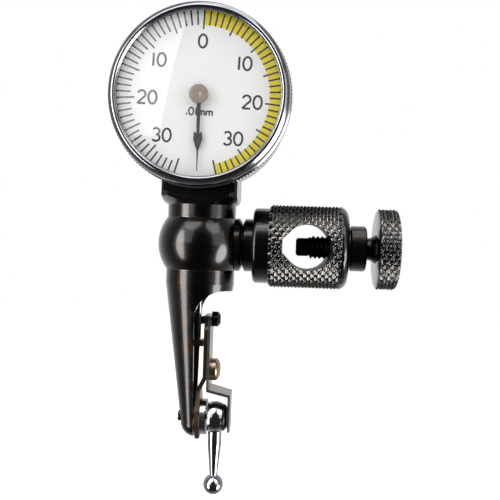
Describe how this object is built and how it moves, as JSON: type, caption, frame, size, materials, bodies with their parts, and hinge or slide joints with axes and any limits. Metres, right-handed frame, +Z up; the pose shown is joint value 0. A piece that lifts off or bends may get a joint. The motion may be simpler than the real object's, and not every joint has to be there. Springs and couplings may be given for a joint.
{
  "type": "dial test indicator",
  "caption": "Lever-type dial test indicator: round dial on a tapered body with a ball-tipped stylus, held by a swivelling V-bore clamp with a thumb screw.",
  "frame": {"origin": "centre of the clamp bore, where a holding rod's axis crosses the clamp arm's axis", "axes": "+X along the clamp arm towards the thumb screw; the clamp bore lies along Y and the dial faces -Y; +Z up from the contact ball towards the dial"},
  "size_m": [0.0446, 0.0163, 0.0755],
  "materials": {
    "black_oxide_steel": "gun-black oxide over polished steel",
    "black_knurled_steel": "gun-black oxide over knurled steel",
    "bezel_chrome": "satin and bright chrome over turned brass",
    "crystal_glass": "clear domed mineral crystal",
    "dial_white": "white enamel with printed scale and a yellow half",
    "retainer_steel": "bright sprung steel",
    "hand_black": "black lacquered steel",
    "hub_nickel": "turned nickel silver",
    "arbor_steel": "hardened and polished steel",
    "movement_brass": "machined brass",
    "jewel_ruby": "synthetic ruby",
    "spring_bronze": "phosphor bronze hairspring strip",
    "rocker_bronze": "bronze strip, browned",
    "strap_steel": "blackened spring steel",
    "screw_nickel": "nickel-plated screw",
    "stylus_chrome": "bright chromed steel",
    "washer_black": "black fibre friction washer",
    "screw_steel": "bright turned steel"
  },
  "bodies": {
    "clamp": {"clamp_sleeve": "black_knurled_steel", "clamp_flange": "black_oxide_steel", "clamp_collar": "black_oxide_steel"},
    "screw": {"thumb_screw": "screw_steel", "thumb_knob": "black_knurled_steel"},
    "swivel": {"swivel_ring": "black_oxide_steel", "swivel_band": "spring_bronze", "swivel_washer": "spring_bronze", "swivel_nut": "strap_steel"},
    "indicator": {"head_block": "black_oxide_steel", "body_tube": "black_oxide_steel", "dial_case": "black_oxide_steel", "rear_cover": "black_oxide_steel", "bezel_wire": "spring_bronze", "movement_plate": "movement_brass", "centre_bush": "movement_brass", "pillar_left": "movement_brass", "pillar_right": "movement_brass", "rear_bridge": "movement_brass", "rear_jewel": "jewel_ruby", "hairspring": "spring_bronze", "hairspring_stud": "movement_brass", "upper_bush": "movement_brass", "lower_cock": "movement_brass", "lower_jewel": "jewel_ruby", "pivot_screw": "black_oxide_steel", "pivot_block": "movement_brass"},
    "bezel": {"bezel": "bezel_chrome", "crystal": "crystal_glass", "crystal_retainer": "retainer_steel", "dial_plate": "dial_white"},
    "hand": {"hand": "hand_black", "hand_hub": "hub_nickel", "centre_arbor": "arbor_steel", "centre_pinion": "movement_brass", "hairspring_collet": "movement_brass"},
    "spindle": {"spindle": "arbor_steel", "spindle_pinion": "arbor_steel", "crown_wheel": "movement_brass"},
    "rocker": {"rocker_arm": "rocker_bronze", "serrated_disc": "arbor_steel", "friction_strap": "strap_steel", "strap_screw": "screw_nickel", "stop_screw": "black_oxide_steel"},
    "stylus": {"stylus_hub": "stylus_chrome", "stylus_stem": "stylus_chrome", "contact_ball": "stylus_chrome", "friction_washer": "washer_black"}
  },
  "joints": [
    {"name": "thumb_screw_travel", "type": "slide", "parent": "clamp", "child": "screw", "axis": [1, 0, 0], "range_m": [-0.0007, 0.005]},
    {"name": "clamp_swivel", "type": "hinge", "parent": "clamp", "child": "swivel", "pos_m": [0, 0, 0], "axis": [1, 0, 0], "continuous": true},
    {"name": "body_turn", "type": "hinge", "parent": "swivel", "child": "indicator", "pos_m": [-0.0168, 0, 0], "axis": [0, 0, 1], "continuous": true},
    {"name": "bezel_turn", "type": "hinge", "parent": "indicator", "child": "bezel", "pos_m": [-0.0168, 0, 0.0219], "axis": [0, 1, 0], "continuous": true},
    {"name": "rocker_tilt", "type": "hinge", "parent": "indicator", "child": "rocker", "pos_m": [-0.0168, 0, -0.0275], "axis": [1, 0, 0], "range_deg": [0, 3.95], "stiffness_Nm_per_rad": 0.0123, "springref_deg": -10},
    {"name": "hand_turn", "type": "hinge", "parent": "indicator", "child": "hand", "pos_m": [-0.0168, 0, 0.0219], "axis": [0, 1, 0], "range_deg": [-1, 351]},
    {"name": "spindle_turn", "type": "hinge", "parent": "indicator", "child": "spindle", "pos_m": [-0.0168, 0, 0], "axis": [0, 0, 1], "range_deg": [-71, 1]},
    {"name": "stylus_set", "type": "hinge", "parent": "rocker", "child": "stylus", "pos_m": [-0.0168, 0, -0.0275], "axis": [1, 0, 0], "range_deg": [-105, 105]}
  ],
  "couplings": [
    {"joint": "hand_turn", "follows": "rocker_tilt", "ratio": 88.608},
    {"joint": "spindle_turn", "follows": "rocker_tilt", "ratio": -17.721}
  ]
}
